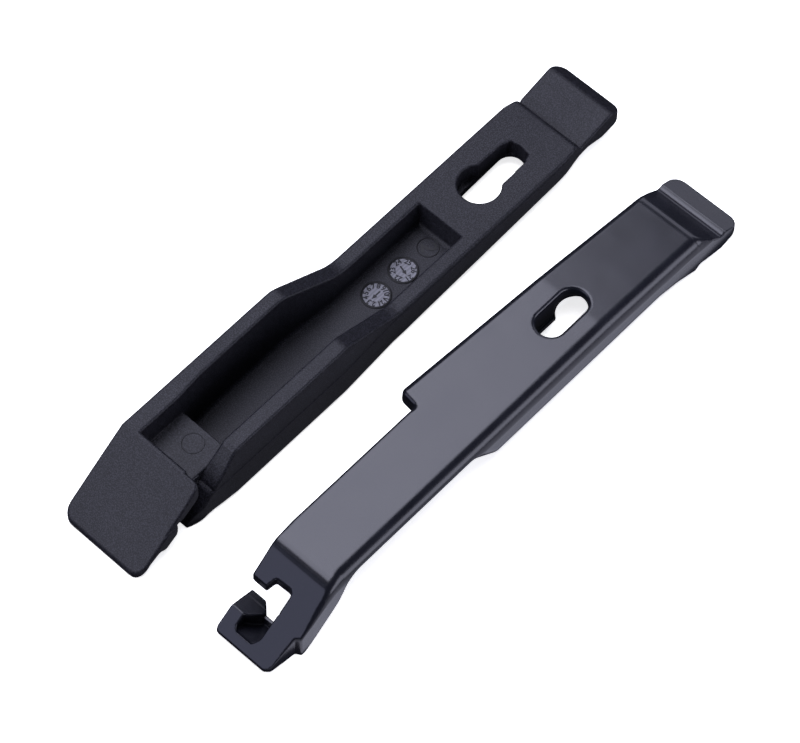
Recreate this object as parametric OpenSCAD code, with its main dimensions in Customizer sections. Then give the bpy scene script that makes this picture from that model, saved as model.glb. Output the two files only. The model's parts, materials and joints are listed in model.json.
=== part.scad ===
// Pair of moulded nylon tyre levers, laid side by side for use.
// The deep lever lies on its back with its channel up. The hook lever lies face up,
// resting on its spoke hook and on its tip. The two levers are separate mouldings.
// X runs across the levers, Y along them towards the thin tips, Z up from the table.

/* [Deep lever] */
// Length from the thin tip to the end of the spoon
deep_length = 148.2; // [140:0.2:156]
// Width of the body beside the keyhole
deep_width = 19; // [18:0.5:21]
// Width of the body beside the deep half of the channel
deep_grip_width = 21.6; // [21:0.2:21.8]
// Thickness of the body at the keyhole end of the channel
deep_thickness = 8.8; // [8.4:0.2:10]
// Height of the rims along the deep half of the channel
rim_height = 15.3; // [14:0.1:17]
// Width of the spoon
spoon_width = 22; // [21.4:0.2:23]
// Width of the tip
deep_tip_width = 18; // [16:0.5:18.6]

/* [Channel] */
// Width of the shallow half of the channel
channel_width = 12; // [10:0.5:13]
// Width of the deep half of the channel
deep_channel_width = 14.1; // [13:0.1:14.4]
// Thickness of the skin under the channel
floor_thickness = 2; // [1.6:0.2:3]
// Height of the ejector pad at the spoon end of the channel
pad_height = 9.4; // [8:0.2:11]

/* [Keyhole] */
// Radius of the round lobe of each keyhole
lobe_radius = 4.75; // [4.5:0.05:5]
// Width of the middle step of the keyhole
step_width = 6.8; // [6:0.1:6.8]
// Width of the valve core end of the keyhole
core_width = 5.4; // [4.5:0.1:5.8]

/* [Hook lever] */
// Length from the thin tip to the end of the hook
hook_length = 142.6; // [138:0.2:148]
// Width of the flat half beside the hook
slim_width = 16.7; // [16:0.1:18]
// Width where the wide half steps in to the slim half
shoulder_width = 21.4; // [19:0.2:22]
// Width just behind the tip
hook_tip_width = 17.6; // [15:0.1:18]
// Depth of the wide half's side walls
hook_depth = 8; // [7:0.5:9]
// Thickness of the slim half
slim_depth = 3.7; // [3.2:0.1:5]
// Length of the slot in the face
slot_length = 13.3; // [10:0.1:14]
// Width of the slot in the face
slot_width = 6.4; // [5.8:0.1:6.6]
// Width of the valve core step beside the slot's inner lobe
slot_step_width = 5.1; // [4.5:0.1:5.8]

/* [Layout] */
// Distance across from the deep lever's axis to the hook lever's axis
lever_spacing = 35.4; // [30:0.2:60]

/* [Hidden] */
$fn = 64;
arc_steps = 6;

tip_y = deep_length / 2;
hook_tip_y = hook_length / 2;
// the deep lever's spoon and the hook lever's hook share one slope
ramp_slope = tan(36.3);
ridge_y = -55.8;
bend_y = -53.4;
face_z = 14.5;
slot_y = 24.85;
keyhole_y = 38.4;
// the hook lever leans until its tip touches the table
lean = 1.5;
turn = 0.4;
// the pair is centred on the origin
deep_axis_x = -17.1;
big = 60;

// Points of a fillet of radius r at corner b, between neighbours a and c
function fillet(a, b, c, r) =
    let(
        u = (a - b) / norm(a - b),
        v = (c - b) / norm(c - b),
        half = acos(u * v) / 2,
        centre = b + (u + v) / norm(u + v) * r / sin(half),
        start = b + u * r / tan(half) - centre,
        side = u.x * v.y - u.y * v.x > 0 ? -1 : 1,
        sweep = side * (180 - 2 * half)
    )
    [
        for (i = [0 : arc_steps])
            let(t = sweep * i / arc_steps)
            centre + [
                start.x * cos(t) - start.y * sin(t),
                start.x * sin(t) + start.y * cos(t)
            ]
    ];

// Outline from [x, y] points and [x, y, radius] corners
function outline(p) =
    let(n = len(p))
    [
        for (i = [0 : n - 1])
            let(
                a = p[(i + n - 1) % n],
                b = p[i],
                c = p[(i + 1) % n]
            )
            each len(b) == 2
                ? [b]
                : fillet([a.x, a.y], [b.x, b.y], [c.x, c.y], b.z)
    ];

// Extrudes a side view, given as [y, z] points, across the lever from x0 to x1
module side_view(points, x0 = -big / 2, x1 = big / 2)
    translate([x0, 0, 0])
        rotate([90, 0, 90])
            linear_extrude(x1 - x0)
                polygon(outline(points));

// Extrudes a plan view, given as [x, y] points, from z0 to z1
module plan_view(points, z0 = -1, z1 = big)
    translate([0, 0, z0])
        linear_extrude(z1 - z0)
            polygon(outline(points));

// Slot with round ends, along Y
module round_slot(length, width, z0, z1)
    for (part = [0 : 2])
        translate([0, (part - 1) * (length - width) / 2, z0])
            if (part == 1)
                translate([-width / 2, -(length - width) / 2, 0])
                    cube([width, length - width, z1 - z0]);
            else
                cylinder(h = z1 - z0, d = width);

// Keyhole: a round lobe, a middle step and a squared end, running towards +Y
module keyhole(z0, z1, radius, step, core) {
    translate([0, 0, z0])
        cylinder(h = z1 - z0, r = radius);
    plan_view([
        [-step / 2, 0],
        [step / 2, 0],
        [step / 2, 7.4],
        [-step / 2, 7.4]
    ], z0, z1);
    plan_view([
        [-core / 2, 7],
        [core / 2, 7],
        [core / 2, 12.8, 0.8],
        [-core / 2, 12.8, 0.8]
    ], z0, z1);
}

// Side view of the deep lever's solid body
module deep_side()
    side_view([
        [tip_y, 5.2, 0.8],
        [tip_y, 7, 1],
        [tip_y - 3.7, 9, 1.5],
        [tip_y - 13.5, 6.6],
        [tip_y - 14.3, deep_thickness],
        [3, deep_thickness, 10],
        [-12.4, rim_height, 5],
        [ridge_y, rim_height, 0.8],
        [-tip_y, rim_height - (tip_y + ridge_y) * ramp_slope, 0.6],
        [-tip_y, 0, 0.2],
        [-73.6, 0, 0.4],
        [-70.3, 3, 1.5],
        [-67.6, 4.3, 0.6],
        [-66, 3.3, 1.2],
        [-62.6, 5.4, 1.5],
        [-61.2, 8.4, 0.6],
        [-60.2, 8.4, 0.5],
        [-59.3, 0, 0.8],
        [4.4, 0, 20],
        [54.4, 3.2, 8],
        [63.2, 4.4, 3],
        [tip_y - 6.4, 3.4, 0.4]
    ]);

// Plan view of the deep lever, wider along the grip and widest at the spoon
module deep_plan() {
    grip_right = deep_grip_width / 2 - 0.4;
    grip_left = grip_right - deep_grip_width;
    plan_view([
        [deep_tip_width / 2, tip_y, 2.6],
        [deep_tip_width / 2, tip_y - 14],
        [deep_width / 2, tip_y - 19, 2],
        [deep_width / 2, 1, 10],
        [grip_right, -14, 10],
        [grip_right, -57],
        [spoon_width / 2 - 0.3, -60, 2],
        [spoon_width / 2 - 0.3, -tip_y, 2.8],
        [-spoon_width / 2 - 0.3, -tip_y, 2.8],
        [-spoon_width / 2 - 0.3, -62, 20],
        [grip_left, -50, 20],
        [grip_left, -14, 10],
        [-deep_width / 2, 1, 10],
        [-deep_width / 2, tip_y - 17.7, 3],
        [0.4 - deep_tip_width / 2, tip_y - 13.9, 0.6],
        [-deep_tip_width / 2, tip_y - 12.5, 1],
        [-deep_tip_width / 2, tip_y, 2.6]
    ]);
}

// The open channel, with the ejector pad left standing at the spoon end
module channel() {
    right = deep_channel_width / 2 - 0.75;
    left = right - deep_channel_width;
    plan_view([
        [channel_width / 2, 26.4],
        [-channel_width / 2, 26.4],
        [-channel_width / 2, 0, 10],
        [left, -14, 10],
        [left + 0.1, -37, 10],
        [left + 0.7, -43.9],
        [right, -43.9],
        [right, -14, 6],
        [channel_width / 2, 0, 6]
    ], floor_thickness);
    translate([left + 0.7, ridge_y + 1.2, pad_height])
        cube([deep_channel_width - 0.7, 12, big]);
}

// The right wall slopes down past the pad to the back, and narrows as it passes the spoon
module wall_end() {
    side_view([
        [-44.7, rim_height, 2],
        [-49.2, 10.9, 5],
        [-52.7, 8, 5],
        [-58.4, 1.8, 2],
        [-59.2, -1],
        [-62, -1],
        [-62, 8.4],
        [-60.6, 8.4, 0.6],
        [ridge_y + 1.1, 11.2],
        [ridge_y + 1.1, big],
        [-44.7, big]
    ], deep_channel_width / 2 - 0.75);
    grip_right = deep_grip_width / 2 - 0.4;
    plan_view([
        [grip_right, -54.7, 3],
        [grip_right - 1.8, -59.4],
        [grip_right + 1, -59.4],
        [grip_right + 1, -50],
        [grip_right, -50]
    ], -1, 8.4);
}

// Deep lever: channel, keyhole, thin tip and spoon in one moulding
module deep_lever()
    color([0.16, 0.16, 0.19])
        translate([deep_axis_x, 0, 0])
            difference() {
                intersection() {
                    deep_side();
                    deep_plan();
                }
                channel();
                wall_end();
                translate([0, keyhole_y, 0])
                    keyhole(4.2, big, lobe_radius, step_width, core_width);
                translate([0, keyhole_y + 4.3, 0])
                    round_slot(17.6, step_width, -1, 5);
            }

// Side view of the hook lever's solid body, before it leans
module hook_side()
    side_view([
        [hook_tip_y, 4.9, 0.6],
        [hook_tip_y, 6.4, 0.6],
        [66.6, 8.4, 0.3],
        [64.8, 7.4, 1.6],
        [58.4, 13.1, 2.6],
        [28, face_z, 30],
        [bend_y, face_z, 6],
        [-hook_tip_y, face_z - (hook_tip_y + bend_y) * ramp_slope, 0.3],
        [-hook_tip_y, 0.5, 0.3],
        [-62.2, 0, 2],
        [-46.5, face_z - slim_depth, 3],
        [-13, face_z - slim_depth, 2],
        [-5.4, face_z - hook_depth, 2],
        [45, face_z - hook_depth, 8],
        [51, 5.3, 5],
        [57.5, 3.1, 1],
        [58.9, 4.4, 0.6],
        [62, 4.3, 2],
        [65.5, 3.5, 1.5]
    ]);

// Plan view of the hook lever: straight right side, stepped and tapered left side
module hook_plan() {
    right = 9.7;
    slim = right - slim_width;
    plan_view([
        [right + 0.1, hook_tip_y, 2.6],
        [right + 0.1, 60, 4],
        [right, 52, 4],
        [right, -50, 4],
        [right + 0.4, -60],
        [right + 0.4, -63.4, 0.5],
        [right - 0.8, -64.1, 0.4],
        [right - 1.6, -hook_tip_y, 1.8],
        [slim + 0.8, -hook_tip_y, 1],
        [slim + 0.8, -60],
        [slim, -48, 6],
        [slim, -12.2, 0.8],
        [right - shoulder_width, -11.6, 1.6],
        [right - hook_tip_width, 56, 20],
        [right - hook_tip_width + 0.3, hook_tip_y, 2.6]
    ]);
}

// Spoke hook: a sloping plate over a hollow, a mouth through the plate's left edge, a finger
// that stops short of the plate's lip, and a blind pocket beyond the finger
module spoke_hook() {
    side_view([
        [-60.4, -2],
        [-60.4, 3.4],
        [-62, 3.8],
        [-62, 5.6, 0.5],
        [-53.8, 11.6, 2],
        [-40, 11.6],
        [-40, -2]
    ], -big / 2, 6.4);
    plan_view([
        [-2.3, -60.2],
        [-1.5, -58.3, 0.6],
        [3, -58.1, 1.2],
        [3, -62.6],
        [-0.2, -62.6],
        [-2.3, -60.5]
    ]);
    side_view([
        [-66.2, 4.95],
        [-60.3, 3.36],
        [-60.3, big],
        [-66.2, big]
    ], -big / 2, 0.4);
    plan_view([
        [3, -63.4],
        [3, -67.6, 0.8],
        [1.9, -69.2, 0.8],
        [-2.2, -69.2, 0.9],
        [-2.9, -68.2, 0.5],
        [-2.9, -66.2, 0.3],
        [-1.7, -65.2, 0.5],
        [-0.3, -63.4]
    ], 1.2);
    plan_view([
        [3, -62.2],
        [3, -63.8],
        [-0.3, -63.8],
        [-0.3, -62.2]
    ], 3);
}

// Moulding core hollows in the underside, which keep the walls even
module hook_cores() {
    translate([-6.2, -3, -1])
        cube([12.4, 14, face_z + 1 - 2.3]);
    translate([-4.6, -45, -1])
        cube([10.6, 29, face_z + 1 - 2.3]);
}

// Hook lever: slotted face, thin tip and spoke hook in one moulding
module hook_lever()
    color([0.12, 0.13, 0.16])
        translate([deep_axis_x + lever_spacing, -62.2, 0])
            rotate([-lean, 0, turn])
                translate([0, 62.2, 0])
                    difference() {
                        intersection() {
                            hook_side();
                            hook_plan();
                        }
                        spoke_hook();
                        hook_cores();
                        translate([0.1, slot_y, 0])
                            round_slot(slot_length, slot_width, 8, big);
                        translate([0, slot_y + 5.55, 0])
                            keyhole_under();
                    }

// The inner side of the hook lever's slot is a keyhole with its lobe towards the tip
module keyhole_under()
    rotate([0, 0, 180])
        keyhole(-1, 11.6, lobe_radius - 0.15, slot_step_width, slot_step_width);

deep_lever();
hook_lever();
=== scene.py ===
"""Looks of a pair of moulded nylon tyre levers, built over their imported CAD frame."""

import json
import math

import bmesh
import bpy
import numpy as np
from bpy.props import FloatProperty, FloatVectorProperty, PointerProperty, StringProperty
from mathutils import Matrix, Vector

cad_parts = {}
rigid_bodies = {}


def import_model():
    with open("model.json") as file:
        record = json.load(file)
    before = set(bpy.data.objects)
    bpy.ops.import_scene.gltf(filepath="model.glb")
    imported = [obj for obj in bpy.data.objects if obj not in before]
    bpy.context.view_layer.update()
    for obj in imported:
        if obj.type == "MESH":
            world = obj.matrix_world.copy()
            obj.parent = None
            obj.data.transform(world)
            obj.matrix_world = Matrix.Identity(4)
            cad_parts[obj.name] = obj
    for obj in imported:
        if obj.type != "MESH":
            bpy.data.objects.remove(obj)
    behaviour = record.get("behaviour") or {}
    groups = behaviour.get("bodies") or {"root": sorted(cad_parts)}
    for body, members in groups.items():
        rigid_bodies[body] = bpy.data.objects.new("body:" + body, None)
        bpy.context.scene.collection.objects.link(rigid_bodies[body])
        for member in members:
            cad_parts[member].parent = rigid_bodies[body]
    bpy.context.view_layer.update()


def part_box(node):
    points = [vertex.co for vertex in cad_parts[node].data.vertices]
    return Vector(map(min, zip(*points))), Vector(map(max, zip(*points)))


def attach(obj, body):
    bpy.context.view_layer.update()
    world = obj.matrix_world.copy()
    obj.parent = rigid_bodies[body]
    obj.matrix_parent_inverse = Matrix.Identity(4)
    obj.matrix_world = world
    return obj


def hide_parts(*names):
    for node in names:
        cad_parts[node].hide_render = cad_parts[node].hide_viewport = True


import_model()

bl_info = {
    "name": "Moulded Tyre Levers",
    "version": (1, 0, 0),
    "blender": (4, 5, 0),
    "location": "3D View > Sidebar > Levers",
    "description": "Builds the finished surfaces of a pair of nylon tyre levers",
    "category": "Object",
}

MM = 0.001

# The deep lever's axis is a fixed distance in from its wide left edge, as packed. The hook
# lever's axis is a fixed distance across from it.
DEEP_LEFT = 11.3
LEVER_SPACING = 35.4
DEEP_LOW, DEEP_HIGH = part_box("deep_lever")
DEEP_AXIS = DEEP_LOW.x / MM + DEEP_LEFT
DEEP_TIP = DEEP_HIGH.y / MM
RIM = DEEP_HIGH.z / MM
HOOK_AXIS = DEEP_AXIS + LEVER_SPACING
HOOK_PIVOT = -62.2
HOOK_TIP = 71.3
FACE = 14.5
SLOPE = math.tan(math.radians(36.3))


# ---------------------------------------------------------------- sizes and colours

class DeepLeverSizes(bpy.types.PropertyGroup):
    """Finishing sizes of the deep lever, in metres."""
    edge: FloatProperty(name="Top Edge", description="Radius of the edges of the open side",
                        default=0.00055, min=0.0002, max=0.0012, subtype="DISTANCE", unit="LENGTH")
    back_edge: FloatProperty(name="Back Edge", description="Radius of the edges of the back",
                             default=0.002, min=0.0005, max=0.003, subtype="DISTANCE",
                             unit="LENGTH")
    floor: FloatProperty(name="Floor Height", description="Height of the channel's floor",
                         default=0.002, min=0.0016, max=0.003, subtype="DISTANCE", unit="LENGTH")
    pad: FloatProperty(name="Pad Height", description="Height of the ejector pad",
                       default=0.0094, min=0.008, max=0.011, subtype="DISTANCE", unit="LENGTH")
    step: FloatProperty(name="Mesh Step", description="Spacing of the surface's points",
                        default=0.00034, min=0.00025, max=0.001, subtype="DISTANCE", unit="LENGTH")


class HookLeverSizes(bpy.types.PropertyGroup):
    """Finishing sizes of the hook lever, in metres and radians."""
    edge: FloatProperty(name="Right Edge", description="Radius of the face's right edge",
                        default=0.003, min=0.0005, max=0.0034, subtype="DISTANCE", unit="LENGTH")
    left_edge: FloatProperty(name="Left Edge", description="Radius of the face's left edge",
                             default=0.0015, min=0.0005, max=0.003, subtype="DISTANCE",
                             unit="LENGTH")
    rim: FloatProperty(name="Slot Rim", description="Radius of the slot's rim",
                       default=0.0008, min=0.0002, max=0.0015, subtype="DISTANCE", unit="LENGTH")
    lean: FloatProperty(name="Lean", description="Angle that brings the tip down to the table",
                        default=math.radians(1.5), subtype="ANGLE", unit="ROTATION")
    turn: FloatProperty(name="Turn", description="Angle between the two levers, seen from above",
                        default=math.radians(0.4), subtype="ANGLE", unit="ROTATION")
    step: FloatProperty(name="Mesh Step", description="Spacing of the surface's points",
                        default=0.00034, min=0.00025, max=0.001, subtype="DISTANCE", unit="LENGTH")


class StampSizes(bpy.types.PropertyGroup):
    """Sizes of the small markings that the mould leaves in the channel, in metres."""
    dial: FloatProperty(name="Dial Radius", description="Radius of the two date dials",
                        default=0.003, subtype="DISTANCE", unit="LENGTH")
    pin: FloatProperty(name="Pin Radius", description="Radius of the ejector pin's mark",
                       default=0.00235, subtype="DISTANCE", unit="LENGTH")
    digit: FloatProperty(name="Digit Height", description="Height of the numbers on the dials",
                         default=0.00115, subtype="DISTANCE", unit="LENGTH")


class FinishColours(bpy.types.PropertyGroup):
    """Colours of the two mouldings and of the stage, as sRGB hex."""
    textured: StringProperty(name="Textured Nylon", description="Colour of the deep lever",
                             default="#0d0d12")
    polished: StringProperty(name="Polished Nylon", description="Colour of the hook lever",
                             default="#15161d")
    # the dial plates' pale grey is painted sheen, standing in for the light that the ground insert
    # faces catch
    stamp: StringProperty(name="Date Stamp", description="Colour of the dull date stamps",
                          default="#85858c")
    # colour of the stamps' marks, and also of the dark rings round the dials, which are painted
    # shade of the dials' shallow recesses
    marks: StringProperty(name="Stamp Marks", description="Colour of the stamps' marks",
                          default="#08080a")
    floor: StringProperty(name="Floor", description="Colour of the floor", default="#fafafb")


class StageSizes(bpy.types.PropertyGroup):
    """Camera and lights."""
    lens: FloatProperty(name="Lens", description="Focal length in millimetres on a 36 mm sensor",
                        default=157.4, min=20, max=300)
    distance: FloatProperty(name="Distance", description="Camera's distance from its target",
                            default=0.724, subtype="DISTANCE", unit="LENGTH")
    azimuth: FloatProperty(name="Azimuth", description="Camera's turn around the object",
                           default=math.radians(43.03), subtype="ANGLE", unit="ROTATION")
    elevation: FloatProperty(name="Elevation", description="Camera's angle above the floor",
                             default=math.radians(60.2), subtype="ANGLE", unit="ROTATION")
    target: FloatVectorProperty(name="Target", description="Point the camera looks at",
                                default=(-0.0017, -0.0026, 0.0), subtype="XYZ", unit="LENGTH")


# ---------------------------------------------------------------- distances

def rounded(corners, steps=6):
    """Outline with its corners rounded. Each corner is (u, v) or (u, v, radius). A rounded corner
    becomes an arc whose centre is radius / sin(half the corner's angle) along its bisector."""
    points = []
    count = len(corners)
    for i, corner in enumerate(corners):
        here = np.array(corner[:2], float)
        if len(corner) == 2:
            points.append(here[None])
            continue
        back = np.array(corners[i - 1][:2], float) - here
        on = np.array(corners[(i + 1) % count][:2], float) - here
        back, on = back / np.linalg.norm(back), on / np.linalg.norm(on)
        half = math.acos(float(np.clip(back @ on, -1, 1))) / 2
        centre = here + (back + on) / np.linalg.norm(back + on) * corner[2] / math.sin(half)
        start = here + back * corner[2] / math.tan(half) - centre
        turn = math.pi - 2 * half
        if back[0] * on[1] - back[1] * on[0] > 0:
            turn = -turn
        t = np.linspace(0, turn, steps + 1)[:, None]
        arc = start * np.cos(t) + np.array([-start[1], start[0]]) * np.sin(t)
        points.append(centre + arc)
    return np.concatenate(points)


def outline_distance(points, u, v):
    """Distance from (u, v) to a closed outline, negative inside. It is the smallest distance to
    any edge, and its sign comes from counting the edges that a ray along u crosses."""
    u, v = np.asarray(u)[..., None], np.asarray(v)[..., None]
    a, b = points, np.roll(points, -1, axis=0)
    e = b - a
    length = np.maximum((e ** 2).sum(1), 1e-12)
    du, dv = u - a[:, 0], v - a[:, 1]
    t = np.clip((du * e[:, 0] + dv * e[:, 1]) / length, 0, 1)
    near = ((du - t * e[:, 0]) ** 2 + (dv - t * e[:, 1]) ** 2).min(-1)
    rise = np.where(e[:, 1] == 0, 1e-12, e[:, 1])
    crossed = ((a[:, 1] > v) != (b[:, 1] > v)) & (u < a[:, 0] + e[:, 0] * (v - a[:, 1]) / rise)
    inside = crossed.sum(-1) % 2 == 1
    return np.where(inside, -1, 1) * np.sqrt(near)


def box_distance(u, v, low_u, high_u, low_v, high_v, radius=0.0):
    """Distance to a rectangle with rounded corners: the length of what sticks out past its
    inner rectangle, less the radius."""
    du = np.abs(u - (low_u + high_u) / 2) - (high_u - low_u) / 2 + radius
    dv = np.abs(v - (low_v + high_v) / 2) - (high_v - low_v) / 2 + radius
    out = np.hypot(np.maximum(du, 0), np.maximum(dv, 0))
    return out + np.minimum(np.maximum(du, dv), 0) - radius


def both(a, b, radius):
    """Distance to what two solids share, with a fillet of the given radius where their
    surfaces meet: a quarter circle joins the two distances."""
    arc = np.hypot(np.maximum(radius + a, 0), np.maximum(radius + b, 0))
    return np.minimum(-radius, np.maximum(a, b)) + arc


def cut_out(solid, hole, radius):
    """Distance to a solid with a hole cut from it, the hole's rim rounded to the radius."""
    return both(solid, -hole, radius)


# ---------------------------------------------------------------- surfaces

def net(field, xs, ys, zs):
    """Closed surface where a distance field is zero, over a grid of planes. Every grid cell that
    the surface passes through gets one point, the mean of where it crosses the cell's edges, and
    every grid edge that it crosses gets the quad that joins the four cells round it. The points
    then move along the field's gradient onto the surface, and that gradient is their normal."""
    grid = field(xs[:, None, None], ys[None, :, None], zs[None, None, :])
    grid = np.where(np.abs(grid) < 1e-6, 1e-6, grid)
    inside = grid < 0
    corners = [(i, j, k) for i in (0, 1) for j in (0, 1) for k in (0, 1)]
    nx, ny, nz = grid.shape
    filled = sum(inside[i:nx - 1 + i, j:ny - 1 + j, k:nz - 1 + k].astype(np.int8)
                 for i, j, k in corners)
    cells = np.argwhere((filled > 0) & (filled < 8))
    number = np.full((nx - 1, ny - 1, nz - 1), -1, np.int64)
    number[tuple(cells.T)] = np.arange(len(cells))
    planes = (xs, ys, zs)
    total, hits = np.zeros((len(cells), 3)), np.zeros(len(cells))
    for axis in range(3):
        for i, j in ((0, 0), (0, 1), (1, 0), (1, 1)):
            start = cells.copy()
            start[:, (axis + 1) % 3] += i
            start[:, (axis + 2) % 3] += j
            end = start.copy()
            end[:, axis] += 1
            f0, f1 = grid[tuple(start.T)], grid[tuple(end.T)]
            hit = (f0 < 0) != (f1 < 0)
            t = np.where(hit, f0 / np.where(hit, f0 - f1, 1), 0)
            point = np.stack([planes[d][start[:, d]] for d in range(3)], 1)
            point[:, axis] += t * (planes[axis][end[:, axis]] - point[:, axis])
            total += point * hit[:, None]
            hits += hit
    points = total / hits[:, None]
    quads = []
    for axis in range(3):
        p, q = (axis + 1) % 3, (axis + 2) % 3
        here = [slice(None)] * 3
        there = [slice(None)] * 3
        here[axis], there[axis] = slice(0, -1), slice(1, None)
        starts = inside[tuple(here)]
        edges = np.argwhere(starts != inside[tuple(there)])
        keep = (edges[:, p] > 0) & (edges[:, q] > 0)
        keep &= (edges[:, p] < grid.shape[p] - 1) & (edges[:, q] < grid.shape[q] - 1)
        edges = edges[keep]
        ring = []
        for i, j in ((-1, -1), (0, -1), (0, 0), (-1, 0)):
            cell = edges.copy()
            cell[:, p] += i
            cell[:, q] += j
            ring.append(number[tuple(cell.T)])
        ring = np.stack(ring, 1)
        quads.append(np.where(starts[tuple(edges.T)][:, None], ring, ring[:, ::-1]))
    quads = np.concatenate(quads)
    points, normals = settle(field, points)
    return points, quads, normals


def settle(field, points, rounds=2, h=0.02):
    """Moves points onto the surface: each round steps by the distance over the gradient's
    length squared, along the gradient, which comes from differences over h."""
    for _ in range(rounds):
        x, y, z = points.T
        f = field(x, y, z)
        slope = np.stack([field(x + h, y, z) - f, field(x, y + h, z) - f,
                          field(x, y, z + h) - f], 1) / h
        size = np.maximum((slope ** 2).sum(1), 0.05)
        points = points - slope * np.clip(f / size, -0.2, 0.2)[:, None]
    return points, slope / np.sqrt(size)[:, None]


def zones(*stretches):
    """Grid planes: each stretch is (start, end, step), and the last one's end closes the row."""
    rows = [np.linspace(a, b, max(2, round((b - a) / step) + 1))[:-1] for a, b, step in stretches]
    return np.concatenate(rows + [np.array([stretches[-1][1]])])


def new_piece(name, points, faces, normals=None):
    """Mesh object in metres from points in millimetres and faces of equal corner count."""
    mesh = bpy.data.meshes.new(name)
    count, corners = faces.shape
    mesh.vertices.add(len(points))
    mesh.vertices.foreach_set("co", (points * MM).astype(np.float32).ravel())
    mesh.loops.add(count * corners)
    mesh.loops.foreach_set("vertex_index", faces.astype(np.int32).ravel())
    mesh.polygons.add(count)
    mesh.polygons.foreach_set("loop_start", np.arange(0, count * corners, corners, dtype=np.int32))
    mesh.polygons.foreach_set("use_smooth", np.ones(count, bool))
    mesh.update()
    mesh.validate()
    if normals is not None:
        mesh.normals_split_custom_set_from_vertices(normals.tolist())
    piece = bpy.data.objects.new(name, mesh)
    bpy.context.scene.collection.objects.link(piece)
    return piece


# ---------------------------------------------------------------- deep lever

def deep_side():
    """Side view of the deep lever, as (y, z, radius)."""
    past = -DEEP_TIP - 2
    ridge = -55.8
    return rounded([
        (DEEP_TIP + 2, 4.6), (DEEP_TIP + 2, 5.6), (DEEP_TIP - 3.4, 9.2, 2.2),
        (DEEP_TIP - 13.5, 6.6, 0.4), (DEEP_TIP - 14.3, 8.8, 1.5),
        (3, 8.8, 10), (-12.4, RIM, 5), (ridge, RIM, 0.8),
        (past, RIM - (ridge - past) * SLOPE), (past, 0), (-73.6, 0, 0.4), (-70.3, 3.0, 1.5),
        (-67.6, 4.3, 0.6), (-66.0, 3.3, 1.2), (-62.6, 5.4, 1.5), (-61.2, 8.4, 0.6),
        (-60.2, 8.4, 0.5), (-59.3, 0, 0.8),
        (4.4, 0, 20), (54.4, 3.2, 8), (63.2, 4.4, 3), (DEEP_TIP - 6.4, 3.4, 0.4)])


def deep_plan():
    """Plan view of the deep lever, as (x, y, radius)."""
    end = -DEEP_TIP
    return rounded([
        (9, DEEP_TIP, 2.6), (9, 60.1), (9.5, 55.1, 2), (9.5, 1, 10), (10.4, -14, 10),
        (10.4, -57), (10.7, -60, 2), (10.7, end, 2.8), (-11.3, end, 2.8),
        (-11.3, -62, 20), (-11.2, -50, 20), (-11.2, -14, 10), (-9.5, 1, 10), (-9.5, 56.4, 3),
        (-8.6, 60.2, 0.6), (-9, 61.6, 1), (-9, DEEP_TIP, 2.6)])


def channel_plan():
    """Plan view of the channel at its rims, as (x, y, radius)."""
    return rounded([(6, 26.4, 0.3), (-6, 26.4, 0.3), (-6, 0, 10), (-7.8, -14, 10), (-7.7, -37, 10),
                    (-7.1, -43.9), (6.3, -43.9), (6.3, -14, 6), (6, 0, 6)])


def wall_end():
    """Side view of what is cut off the end of the right wall, as (y, z, radius)."""
    return rounded([(-44.7, RIM, 2), (-49.2, 10.9, 5), (-52.7, 8.0, 5), (-58.4, 1.8, 2),
                    (-59.2, -1), (-62, -1), (-62, 8.4), (-60.6, 8.4, 0.6), (-54.7, 11.2),
                    (-54.7, 60), (-44.7, 60)])


def deep_field(sizes):
    """Distance field of the deep lever: its side view carried across and its plan view carried
    up share a solid, whose walls lean by the draft; channel, pad, wall end and keyhole are
    cut from it."""
    side, plan = deep_side(), deep_plan()
    trough, end = channel_plan(), wall_end()
    edge, back = sizes.edge / MM, sizes.back_edge / MM
    floor, pad = sizes.floor / MM, sizes.pad / MM

    def field(x, y, z):
        lean = 0.07 * (z - 8.8) * np.interp(y, [-52, -46, 56, 62], [0, 1, 1, 0]) * (x > 0)
        ends = np.interp(y, [-60, -54, 60, 66], [0, 1, 1, 0])
        radius = edge + (np.interp(z, [1.5, 6], [back, edge]) - edge) * ends
        # the parting line: below it the walls stand 0.12 mm proud
        lean = lean - 0.12 * np.clip((8.3 - z) / 0.3, 0, 1) * np.interp(y, [-54, -50, 52, 56],
                                                                       [0, 1, 1, 0]) * (x > 0)
        solid = both(outline_distance(side, y, z), outline_distance(plan, x, y) + lean, radius)
        rim = np.interp(y, [-12.4, 3], [RIM, 8.8])
        draft = 0.085 * (rim - z)
        hollow = both(outline_distance(trough, x, y) + draft, floor - z, 0.9)
        above = both(box_distance(x, y, -7.1, 6.3, -54.6, -40) + draft, pad - z, 0.3)
        solid = cut_out(solid, np.minimum(hollow, above), edge * 0.9)
        stop = np.maximum(outline_distance(end, y, z), 6.3 - x)
        solid = cut_out(solid, stop, 0.7)
        side_cut = 10.4 + 0.383 * np.minimum(y + 54.7, 0) - x
        side_cut = np.maximum(np.maximum(side_cut, z - 8.4), np.maximum(y + 54.6, -59.6 - y))
        solid = cut_out(solid, side_cut, 0.15)
        spoon = box_distance(x, y, -40, 10.7, -90, -54.7, 2.6)
        corner = np.maximum(np.maximum(-spoon, 8.6 - z), np.maximum(6.5 - x, y + 52))
        solid = cut_out(solid, corner, 0.8)
        key = np.minimum(np.hypot(x, y - 38.4) - 4.75,
                         box_distance(x, y, -3.4, 3.4, 38.4, 45.8))
        key = np.minimum(key, box_distance(x, y, -2.7, 2.7, 44, 51.2, 0.8))
        key = np.maximum(key, 4.2 - z)
        skin = box_distance(x, y, -3.3, 3.3, 33.9, 51.5, 3.29)
        return cut_out(solid, np.minimum(key, skin), 0.35)

    return field


# ---------------------------------------------------------------- hook lever

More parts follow.
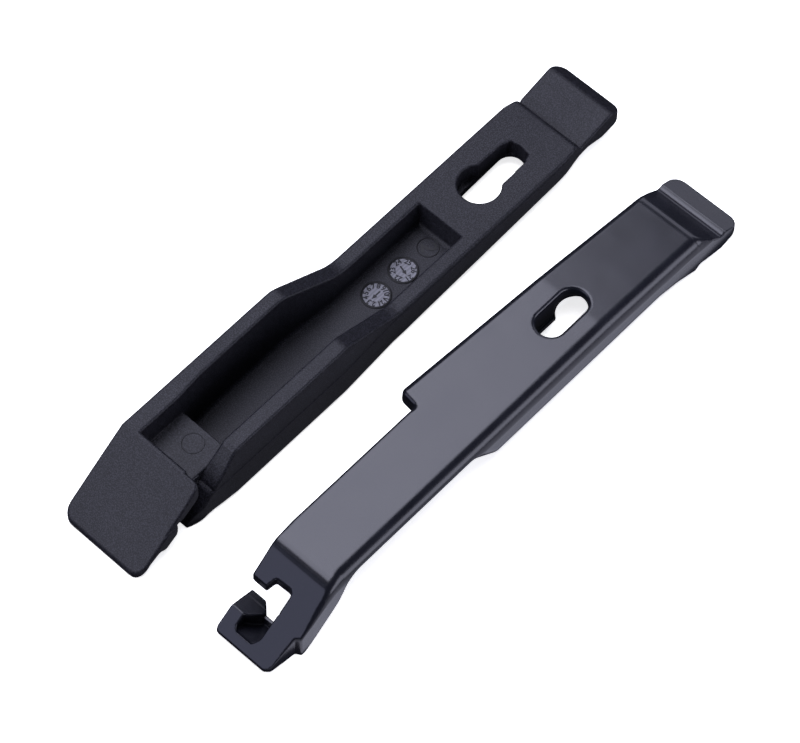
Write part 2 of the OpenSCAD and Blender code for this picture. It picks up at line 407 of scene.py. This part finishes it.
def hook_side():
    """Side view of the hook lever before it leans, as (y, z, radius)."""
    past = -HOOK_TIP - 0.6
    return rounded([
        (HOOK_TIP + 2, 5.4), (HOOK_TIP + 2, 5.6), (66.6, 8.4, 0.3), (65.2, 7.8, 1.6),
        (58.4, 13.1, 4.5), (28, FACE, 30), (-53.4, FACE, 6),
        (past, FACE - (-53.4 - past) * SLOPE), (past, 0.5), (-62.2, 0, 2),
        (-46.5, FACE - 3.7, 3), (-13, FACE - 3.7, 2), (-5.4, FACE - 8, 2), (45, FACE - 8, 8),
        (51, 5.3, 5), (57.5, 3.1, 1), (58.9, 4.4, 0.6), (62, 4.3, 2), (65.5, 3.5, 1.5)])


def hook_plan():
    """Plan view of the hook lever: straight right side, stepped and tapered left side."""
    end = -HOOK_TIP
    return rounded([
        (9.8, HOOK_TIP, 2.6), (9.8, 60, 4), (9.7, 52, 4), (9.7, -50, 4), (10.1, -60),
        (10.1, -63.4, 0.5), (8.9, -64.1, 0.4), (8.1, end, 1.8), (-6.2, end, 1), (-6.2, -60),
        (-7.0, -48, 6), (-7.0, -12.2, 0.8), (-11.7, -11.6, 1.6), (-7.9, 56, 20),
        (-7.6, HOOK_TIP, 2.6)])


def mouth_plan():
    """Plan view of the opening beside the hook's finger, as (x, y, radius)."""
    return rounded([(-2.3, -60.2), (-1.5, -58.3, 0.6), (3, -58.1, 1.2), (3, -62.6),
                    (-0.2, -62.6), (-2.3, -60.5)])


def pocket_plan():
    """Plan view of the blind pocket beyond the hook's finger, as (x, y, radius)."""
    return rounded([(3, -62.4), (3, -67.6, 0.8), (1.9, -69.2, 0.8), (-2.2, -69.2, 0.9),
                    (-2.9, -68.2, 0.5), (-2.9, -66.2, 0.3), (-1.7, -65.2, 0.5),
                    (-0.3, -63.5, 0.3), (-0.2, -62.4)])


def under_hook():
    """Side view of the hollow under the hook's sloping plate, as (y, z, radius)."""
    return rounded([(-60.4, -2), (-60.4, 3.4), (-62, 3.8), (-62, 5.6, 0.5), (-53.8, 11.6, 2),
                    (-40, 11.6), (-40, -2)])


def hook_field(sizes):
    """Distance field of the hook lever, made like the deep lever's: the radius of its edges
    falls from the face down, and the cores, slot, keyhole, mouth and pocket are cut from it."""
    side, plan, mouth, pocket = hook_side(), hook_plan(), mouth_plan(), pocket_plan()
    under = under_hook()
    edge, lip, left = sizes.edge / MM, sizes.rim / MM, sizes.left_edge / MM

    def field(x, y, z):
        narrow = left + (0.7 - left) * np.interp(y, [-14, -10], [1, 0])
        narrow = 0.45 + (narrow - 0.45) * np.interp(y, [-57, -50, 58, 62], [0, 1, 1, 0])
        wide = 0.45 + (edge - 0.45) * np.interp(y, [-68, -64, -56, -50, 58, 62],
                                                [0, 0.3, 0.4, 1, 1, 0])
        face_edge = narrow + (wide - narrow) * np.interp(x, [-1, 1], [0, 1])
        radius = np.interp(z, [7.5, 11], [0.45, 1]) * face_edge
        lean = 0.03 * (z - 12) * np.interp(y, [-56, -50], [0, 1])
        solid = both(outline_distance(side, y, z), outline_distance(plan, x, y) + lean, radius)
        cores = np.minimum(box_distance(x, y, -6.2, 6.2, -3, 11, 1) + (z - 12.1) * 0.03,
                           box_distance(x, y, -4.6, 6.0, -45, -16, 1))
        solid = cut_out(solid, both(cores, z - 12.2, 0.6), 0.4)
        slot = np.maximum(box_distance(x, y, -3.1, 3.3, 18.2, 31.5, 3.19), 8 - z)
        lobe = y - 30.4
        key = np.minimum(np.hypot(x, lobe) - 4.6,
                         box_distance(x, lobe, -2.5, 2.6, -12.8, 0, 0.8))
        solid = cut_out(solid, np.maximum(key, z - 11.6), 0.3)
        solid = cut_out(solid, slot, lip)
        solid = cut_out(solid, np.maximum(outline_distance(under, y, z), x - 6.4), 0.4)
        solid = cut_out(solid, outline_distance(mouth, x, y), 0.35)
        dip = 4.95 - 0.27 * (y + 66.2)
        finger = both(box_distance(x, y, -20, 0.4, -66.2, -60.3), dip - z, 0.3)
        solid = cut_out(solid, finger, 0.3)
        # the pocket's floor falls towards the finger, so it stays dark from above
        well = both(outline_distance(pocket, x, y), 1.2 - 0.3 * (y + 66) - z, 0.5)
        dam = np.maximum(np.maximum(-63.4 - y, y + 62.2), z - 3.0)
        return cut_out(solid, np.maximum(well, -dam), 0.3)

    return field


def hook_place(points, normals, sizes):
    """Leans the hook lever about its hook and turns it a little, as the CAD does."""
    lean = Matrix.Rotation(-sizes.lean, 3, "X")
    turn = Matrix.Rotation(sizes.turn, 3, "Z")
    m = np.array(turn @ lean)
    shift = np.array([0, -HOOK_PIVOT, 0])
    place = np.array([HOOK_AXIS, HOOK_PIVOT, 0])
    return (points + shift) @ m.T + place, normals @ m.T


# ---------------------------------------------------------------- stamps

def ring(centre, radius, thin, around=64, across=8):
    """Torus lying flat: points at radius + thin cos b from the centre and thin sin b above it."""
    a = np.linspace(0, 2 * math.pi, around, endpoint=False)[:, None]
    b = np.linspace(0, 2 * math.pi, across, endpoint=False)[None, :]
    far = radius + thin * np.cos(b)
    points = np.stack([centre[0] + far * np.cos(a), centre[1] + far * np.sin(a),
                       centre[2] + thin * np.sin(b) + 0 * a], -1).reshape(-1, 3)
    at = np.arange(around * across).reshape(around, across)
    right, up = np.roll(at, -1, 0), np.roll(at, -1, 1)
    quads = np.stack([at, right, np.roll(right, -1, 1), up], -1).reshape(-1, 4)
    return points, quads


def plate(outline, low, high, middle):
    """Flat closed plate: an outline at two heights, a middle point that sees every corner
    joined to each by a fan of triangles, and a band of triangles between them."""
    n = len(outline)
    points = np.concatenate([np.column_stack([outline, np.full(n, low)]),
                             np.column_stack([outline, np.full(n, high)]),
                             [[*middle, low], [*middle, high]]])
    i = np.arange(n)
    j = (i + 1) % n
    faces = np.concatenate([np.stack([j, i, 0 * i + 2 * n], 1),
                            np.stack([i + n, j + n, 0 * i + 2 * n + 1], 1),
                            np.stack([i, j, j + n], 1), np.stack([i, j + n, i + n], 1)])
    return points, faces


def disc(centre, radius, count=64):
    """Circle about a centre, run anticlockwise."""
    t = np.linspace(0, 2 * math.pi, count, endpoint=False)
    return np.stack([centre[0] + radius * np.cos(t), centre[1] + radius * np.sin(t)], 1)


def number(text, height, place, turn):
    """Points and triangles of a small solid number, read from a text curve made into a mesh."""
    curve = bpy.data.curves.new("number", "FONT")
    curve.body, curve.size, curve.extrude, curve.offset = text, height / 0.7, 0.02, 0.05
    curve.align_x, curve.align_y = "CENTER", "CENTER"
    curve.resolution_u = 3
    holder = bpy.data.objects.new("number", curve)
    bpy.context.scene.collection.objects.link(holder)
    solid = holder.evaluated_get(bpy.context.evaluated_depsgraph_get())
    mesh = bpy.data.meshes.new_from_object(solid)
    work = bmesh.new()
    work.from_mesh(mesh)
    bmesh.ops.remove_doubles(work, verts=work.verts, dist=1e-5)
    bmesh.ops.triangulate(work, faces=work.faces)
    turned = Matrix.Translation(place) @ Matrix.Rotation(turn, 4, "Z")
    points = np.array([turned @ v.co for v in work.verts])
    work.verts.index_update()
    faces = np.array([[v.index for v in f.verts] for f in work.faces])
    work.free()
    bpy.data.objects.remove(holder)
    bpy.data.curves.remove(curve)
    bpy.data.meshes.remove(mesh)
    return points, faces


def merge(parts):
    """One set of points and triangles from several, quads split in two."""
    points, faces, start = [], [], 0
    for p, f in parts:
        f = f if f.shape[1] == 3 else np.concatenate([f[:, [0, 1, 2]], f[:, [0, 2, 3]]])
        points.append(p)
        faces.append(f + start)
        start += len(p)
    return np.concatenate(points), np.concatenate(faces)


# ---------------------------------------------------------------- materials

def srgb(value):
    """Linear colour from an sRGB hex value."""
    part = np.array([int(value[i:i + 2], 16) for i in (1, 3, 5)]) / 255
    linear = np.where(part <= 0.04045, part / 12.92, ((part + 0.055) / 1.055) ** 2.4)
    return (*linear.tolist(), 1.0)


def add(tree, kind, settings=None, **links):
    """Adds a node, sets its properties, and sets or links its inputs by name or index."""
    node = tree.nodes.new(kind)
    for key, value in (settings or {}).items():
        setattr(node, key, value)
    for key, value in links.items():
        socket = node.inputs[int(key[1:])] if key[0] == "_" else node.inputs[key.replace("_", " ")]
        if isinstance(value, bpy.types.NodeSocket):
            tree.links.new(value, socket)
        else:
            socket.default_value = value
    return node


def blank(name):
    material = bpy.data.materials.new(name)
    material.use_nodes = True
    material.node_tree.nodes.clear()
    return material, material.node_tree


def textured_nylon(colour):
    """Glass-filled nylon 66 moulded against a spark-eroded steel: fine even pits about 0.25 mm
    apart scatter the light, so it looks satin and slightly speckled, never glossy."""
    material, tree = blank("textured_glass_filled_nylon")
    place = add(tree, "ShaderNodeTexCoord").outputs["Object"]
    # 0.25 mm pits: a noise of scale 1 / 0.25 mm
    pits = add(tree, "ShaderNodeTexNoise", Vector=place, Scale=4000.0, Detail=3.0, Roughness=0.6)
    # sparse paler specks in the skin, about 0.4 mm apart
    specks = add(tree, "ShaderNodeTexVoronoi", {"feature": "F1"}, Vector=place, Scale=2200.0)
    # slow change in the skin's gloss over some 25 mm, where the melt cooled unevenly
    slow = add(tree, "ShaderNodeTexNoise", Vector=place, Scale=45.0, Detail=2.0)
    dark = srgb(colour)
    pale = tuple(min(1, c * 4.0 + 0.012) for c in dark[:3]) + (1.0,)
    tone = add(tree, "ShaderNodeValToRGB", Fac=pits.outputs["Fac"])
    tone.color_ramp.elements[0].position, tone.color_ramp.elements[0].color = 0.45, dark
    tone.color_ramp.elements[1].position, tone.color_ramp.elements[1].color = 0.62, pale
    rough = add(tree, "ShaderNodeMapRange", Value=slow.outputs["Fac"], _3=0.44, _4=0.54)
    mix = add(tree, "ShaderNodeMath", {"operation": "MULTIPLY_ADD"},
              _0=specks.outputs["Distance"], _1=0.35, _2=pits.outputs["Fac"])
    bump = add(tree, "ShaderNodeBump", Strength=0.5, Distance=0.00006, Height=mix.outputs[0])
    shader = add(tree, "ShaderNodeBsdfPrincipled", Base_Color=tone.outputs["Color"],
                 Roughness=rough.outputs["Result"], Normal=bump.outputs["Normal"], IOR=1.53,
                 Specular_IOR_Level=0.27)
    add(tree, "ShaderNodeOutputMaterial", Surface=shader.outputs[0])
    return material


def polished_nylon(colour):
    """The same nylon moulded against a draw-polished steel: a smooth dark skin with soft wide
    reflections, faint flow markings some 8 mm across and a fine haze."""
    material, tree = blank("polished_glass_filled_nylon")
    place = add(tree, "ShaderNodeTexCoord").outputs["Object"]
    haze = add(tree, "ShaderNodeTexNoise", Vector=place, Scale=3000.0, Detail=2.0)
    # sink and flow markings: slow waves about 8 mm long, some 0.02 mm deep
    flow = add(tree, "ShaderNodeTexNoise", Vector=place, Scale=120.0, Detail=1.5)
    dark = srgb(colour)
    pale = tuple(c * 1.5 + 0.002 for c in dark[:3]) + (1.0,)
    tone = add(tree, "ShaderNodeValToRGB", Fac=flow.outputs["Fac"])
    tone.color_ramp.elements[0].position, tone.color_ramp.elements[0].color = 0.3, dark
    tone.color_ramp.elements[1].position, tone.color_ramp.elements[1].color = 0.8, pale
    rough = add(tree, "ShaderNodeMapRange", Value=flow.outputs["Fac"], _3=0.22, _4=0.29)
    mix = add(tree, "ShaderNodeMath", {"operation": "MULTIPLY_ADD"},
              _0=haze.outputs["Fac"], _1=0.02, _2=flow.outputs["Fac"])
    bump = add(tree, "ShaderNodeBump", Strength=0.22, Distance=0.0002, Height=mix.outputs[0])
    shader = add(tree, "ShaderNodeBsdfPrincipled", Base_Color=tone.outputs["Color"],
                 Roughness=rough.outputs["Result"], Normal=bump.outputs["Normal"], IOR=1.53)
    add(tree, "ShaderNodeOutputMaterial", Surface=shader.outputs[0])
    return material


def date_stamp(colour, name):
    """Nylon moulded against the ground end of a steel insert: duller and flatter than the
    moulding's own skin, with fine grinding lines 0.12 mm apart. The pale grey that the dial
    plates are given is painted sheen."""
    material, tree = blank(name)
    place = add(tree, "ShaderNodeTexCoord").outputs["Object"]
    # grinding lines: a wave of scale 1 / 0.12 mm / 20, a little distorted
    lines = add(tree, "ShaderNodeTexWave", Vector=place, Scale=420.0, Distortion=1.5)
    base = srgb(colour)
    dark = tuple(c * 0.7 for c in base[:3]) + (1.0,)
    tone = add(tree, "ShaderNodeValToRGB", Fac=lines.outputs["Fac"])
    tone.color_ramp.elements[0].color = dark
    tone.color_ramp.elements[1].color = base
    shader = add(tree, "ShaderNodeBsdfPrincipled", Base_Color=tone.outputs["Color"],
                 Roughness=0.6, IOR=1.53)
    add(tree, "ShaderNodeOutputMaterial", Surface=shader.outputs[0])
    return material


def light_table(colour):
    """Opal acrylic light table, lit from below: matt white with a faint grain 1 mm across."""
    material, tree = blank("opal_acrylic_light_table")
    place = add(tree, "ShaderNodeTexCoord").outputs["Object"]
    grain = add(tree, "ShaderNodeTexNoise", Vector=place, Scale=900.0, Detail=2.0)
    white = srgb(colour)
    shade = tuple(c * 0.985 for c in white[:3]) + (1.0,)
    tone = add(tree, "ShaderNodeValToRGB", Fac=grain.outputs["Fac"])
    tone.color_ramp.elements[0].color = shade
    tone.color_ramp.elements[1].color = white
    shader = add(tree, "ShaderNodeBsdfPrincipled", Base_Color=tone.outputs["Color"],
                 Roughness=0.95, IOR=1.4, Specular_IOR_Level=0.0,
                 Emission_Color=tone.outputs["Color"], Emission_Strength=0.8)
    add(tree, "ShaderNodeOutputMaterial", Surface=shader.outputs[0])
    return material


# ---------------------------------------------------------------- operators

class LEVER_OT_deep(bpy.types.Operator):
    """Builds the deep lever's finished surface in place of its CAD node"""
    bl_idname = "lever.deep"
    bl_label = "Deep Lever"

    def execute(self, context):
        sizes = context.scene.deep_lever_sizes
        step = sizes.step / MM
        xs = zones((-12, 11.6, step))
        ys = zones((-74.8, -40, step), (-40, -20, 0.9), (-20, -1, 0.55), (-1, 24, 0.9),
                   (24, 74.8, step))
        zs = zones((-0.6, 15.9, step))
        points, quads, normals = net(deep_field(sizes), xs, ys, zs)
        points[:, 0] += DEEP_AXIS
        piece = new_piece("deep_lever_moulding", points, quads, normals)
        piece.data.materials.append(textured_nylon(context.scene.lever_colours.textured))
        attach(piece, "deep_lever")
        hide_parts("deep_lever")
        return {"FINISHED"}


class LEVER_OT_hook(bpy.types.Operator):
    """Builds the hook lever's finished surface in place of its CAD node"""
    bl_idname = "lever.hook"
    bl_label = "Hook Lever"

    def execute(self, context):
        sizes = context.scene.hook_lever_sizes
        step = sizes.step / MM
        xs = zones((-12, 10.6, step))
        ys = zones((-72, -46, step), (-46, -17, 0.9), (-17, -2, step), (-2, 14, 0.8),
                   (14, 34, step), (34, 54, 0.9), (54, 72, step))
        zs = zones((-0.6, 15.1, step))
        points, quads, normals = net(hook_field(sizes), xs, ys, zs)
        points, normals = hook_place(points, normals, sizes)
        piece = new_piece("hook_lever_moulding", points, quads, normals)
        piece.data.materials.append(polished_nylon(context.scene.lever_colours.polished))
        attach(piece, "hook_lever")
        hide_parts("hook_lever")
        return {"FINISHED"}


class LEVER_OT_stamps(bpy.types.Operator):
    """Builds the date dials, with pale plates of painted sheen and dark rings of painted shade,
    the cavity number and the ejector pin's ring in the channel
    """
    bl_idname = "lever.stamps"
    bl_label = "Mould Stamps"

    def execute(self, context):
        sizes = context.scene.lever_stamps
        deep = context.scene.deep_lever_sizes
        colours = context.scene.lever_colours
        dial, pin, digit = sizes.dial / MM, sizes.pin / MM, sizes.digit / MM
        floor, pad = deep.floor / MM, deep.pad / MM
        plates, marks = [], []
        for y, first, count, aim in ((6.6, 3, 12, -90), (14.9, 21, 6, -15)):
            aim = math.radians(aim)
            # the plate's pale grey is painted sheen of the ground insert face
            plates.append(plate(disc((0, y), dial), floor - 0.2, floor + 0.05, (0, y)))
            # the dark ring round the dial is painted shade of the dial's shallow recess
            marks.append(ring((0, y, floor - 0.05), dial + 0.1, 0.3))
            arrow = np.array([(-1.2, -0.17), (0.2, -0.17), (0.2, -0.5), (1.3, 0), (0.2, 0.5),
                              (0.2, 0.17), (-1.2, 0.17)]) * dial / 3
            spin = np.array([(math.cos(aim), math.sin(aim)), (-math.sin(aim), math.cos(aim))])
            middle = np.array((0.2 * dial / 3, 0)) @ spin + (0, y)
            marks.append(plate(arrow @ spin + (0, y), floor, floor + 0.09, middle))
            for i in range(count):
                at = aim - 2 * math.pi * i / count
                spot = (math.cos(at) * dial * 0.72, y + math.sin(at) * dial * 0.72, floor + 0.06)
                text = str((first + i - 1) % 12 + 1 if count == 12 else first + i)
                marks.append(number(text, digit, spot, at - math.pi / 2))
        marks.append(ring((0, 22.6, floor), pin, 0.13))
        marks.append(number("2", digit * 3, (0, 22.6, floor + 0.05), math.radians(-43)))
        marks.append(ring((0, -47.2, pad - 0.02), pin, 0.09))
        for name, parts, colour in (("deep_lever_stamp_plates", plates, colours.stamp),
                                    ("deep_lever_stamp_marks", marks, colours.marks)):
            points, faces = merge(parts)
            points[:, 0] += DEEP_AXIS
            piece = new_piece(name, points, faces)
            piece.data.polygons.foreach_set("use_smooth", np.zeros(len(faces), bool))
            piece.data.materials.append(date_stamp(colour, name[11:]))
            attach(piece, "deep_lever")
        return {"FINISHED"}


def area_light(name, place, aim, size, power, colour, only=None):
    """Rectangular soft light at a place, turned to face its aim; it may light one lever only."""
    data = bpy.data.lights.new(name, "AREA")
    data.shape = "RECTANGLE"
    data.size, data.size_y = size
    data.energy = power
    data.color = colour
    lamp = bpy.data.objects.new(name, data)
    bpy.context.scene.collection.objects.link(lamp)
    lamp.location = place
    lamp.rotation_euler = (Vector(aim) - Vector(place)).to_track_quat("-Z", "Y").to_euler()
    lamp.visible_camera = False
    if only:
        lamp.light_linking.receiver_collection = only


def soft_world(scene):
    """Even soft studio above the horizon and a dark one below it."""
    world = bpy.data.worlds.new("soft_studio")
    scene.world = world
    world.use_nodes = True
    tree = world.node_tree
    tree.nodes.clear()
    place = add(tree, "ShaderNodeTexCoord").outputs["Generated"]
    height = add(tree, "ShaderNodeSeparateXYZ", Vector=place).outputs["Z"]
    sky = add(tree, "ShaderNodeValToRGB", Fac=height)
    low, high = sky.color_ramp.elements
    low.position, low.color = 0.0, (0.025, 0.025, 0.032, 1)
    high.position, high.color = 0.06, (0.045, 0.048, 0.06, 1)
    glow = add(tree, "ShaderNodeBackground", Color=sky.outputs["Color"], Strength=1.0)
    add(tree, "ShaderNodeOutputWorld", Surface=glow.outputs[0])


class LEVER_OT_stage(bpy.types.Operator):
    """Builds the floor, the lights and the camera"""
    bl_idname = "lever.stage"
    bl_label = "Stage"

    def execute(self, context):
        stage = context.scene.lever_stage
        scene = context.scene
        n = 9
        side = np.linspace(-1500, 1500, n)
        grid = np.stack(np.meshgrid(side, side, indexing="ij"), -1).reshape(-1, 2)
        points = np.column_stack([grid, np.zeros(len(grid))])
        at = np.arange(n * n).reshape(n, n)
        faces = np.stack([at[:-1, :-1], at[1:, :-1], at[1:, 1:], at[:-1, 1:]], -1).reshape(-1, 4)
        floor = new_piece("studio_floor", points, faces)
        floor.data.materials.append(light_table(scene.lever_colours.floor))
        floor.visible_diffuse = False
        floor.visible_glossy = False
        soft_world(scene)
        scene.view_settings.view_transform = "Standard"
        groups = {}
        for part in ("deep_lever", "hook_lever"):
            groups[part] = bpy.data.collections.new(part + "_only")
            for piece in scene.objects:
                if piece.name.startswith(part + "_"):
                    groups[part].objects.link(piece)
        deep, hook = groups["deep_lever"], groups["hook_lever"]
        cool = (0.81, 0.82, 1.0)
        # overhead, to the far left: the sheen along both levers' flats
        area_light("left_overhead_softbox", (-0.46, 0.20, 1.0), (-0.1, 0.03, 0), (0.9, 0.72),
                   10.2, cool)
        # low on the right: the line of light along the hook lever's rounded edge
        area_light("right_strip", (0.72, 0.29, 0.27), (0, 0, 0), (0.9, 0.38), 3.6, cool)
        # far and near cards: the hook lever's thin tip and its sloping end
        area_light("far_card", (-0.3, 0.95, 0.35), (0, 0, 0), (0.8, 0.4), 1.5, cool, hook)
        area_light("near_card", (-0.44, -0.90, 0.70), (0, 0, 0), (1.0, 0.6), 3.0,
                   (0.67, 0.70, 1.0), hook)
        # a larger near card for the rougher spoon
        area_light("spoon_card", (-0.44, -0.90, 0.75), (0, 0, 0), (1.3, 0.8), 12.5, cool, deep)
        # cards on the table: the right walls mirror them
        area_light("hook_bounce", (0.0888, 0, 0.0004), (0.0888, 0, 1), (0.12, 0.26), 0.085,
                   cool, hook)
        area_light("deep_bounce", (0.0217, 0, 0.0004), (0.0217, 0, 1), (0.056, 0.26), 0.008,
                   cool, deep)
        wash = bpy.data.lights.new("floor_wash", "SUN")
        wash.energy, wash.angle = 2.6, math.radians(40)
        lamp = bpy.data.objects.new("floor_wash", wash)
        scene.collection.objects.link(lamp)
        only_floor = bpy.data.collections.new("floor_only")
        only_floor.objects.link(floor)
        lamp.light_linking.receiver_collection = only_floor
        camera = bpy.data.objects.new("camera", bpy.data.cameras.new("camera"))
        scene.collection.objects.link(camera)
        camera.data.lens = stage.lens
        camera.data.sensor_width = 36
        camera.data.clip_start, camera.data.clip_end = 0.01, 10
        az, el = stage.azimuth, stage.elevation
        forward = Vector((-math.sin(az) * math.cos(el), math.cos(az) * math.cos(el),
                          -math.sin(el)))
        camera.location = Vector(stage.target) - forward * stage.distance
        camera.rotation_euler = forward.to_track_quat("-Z", "Y").to_euler()
        scene.camera = camera
        return {"FINISHED"}


class LEVER_PT_panel(bpy.types.Panel):
    """Lists the levers' sizes, colours and builders"""
    bl_idname = "LEVER_PT_panel"
    bl_label = "Tyre Levers"
    bl_space_type = "VIEW_3D"
    bl_region_type = "UI"
    bl_category = "Levers"

    def draw(self, context):
        for group in GROUPS:
            box = self.layout.box()
            box.label(text=group.replace("_", " ").title())
            data = getattr(context.scene, group)
            for name in data.__annotations__:
                box.prop(data, name)
        for operator in OPERATORS:
            self.layout.operator(operator.bl_idname)


GROUPS = {
    "deep_lever_sizes": DeepLeverSizes,
    "hook_lever_sizes": HookLeverSizes,
    "lever_stamps": StampSizes,
    "lever_colours": FinishColours,
    "lever_stage": StageSizes,
}
OPERATORS = (LEVER_OT_deep, LEVER_OT_stamps, LEVER_OT_hook, LEVER_OT_stage)
CLASSES = (*GROUPS.values(), *OPERATORS, LEVER_PT_panel)


def register():
    for cls in CLASSES:
        bpy.utils.register_class(cls)
    for name, group in GROUPS.items():
        setattr(bpy.types.Scene, name, PointerProperty(type=group))


def unregister():
    for name in GROUPS:
        delattr(bpy.types.Scene, name)
    for cls in reversed(CLASSES):
        bpy.utils.unregister_class(cls)


def main():
    register()
    bpy.ops.lever.deep()
    bpy.ops.lever.stamps()
    bpy.ops.lever.hook()
    bpy.ops.lever.stage()


if __name__ == "__main__":
    main()
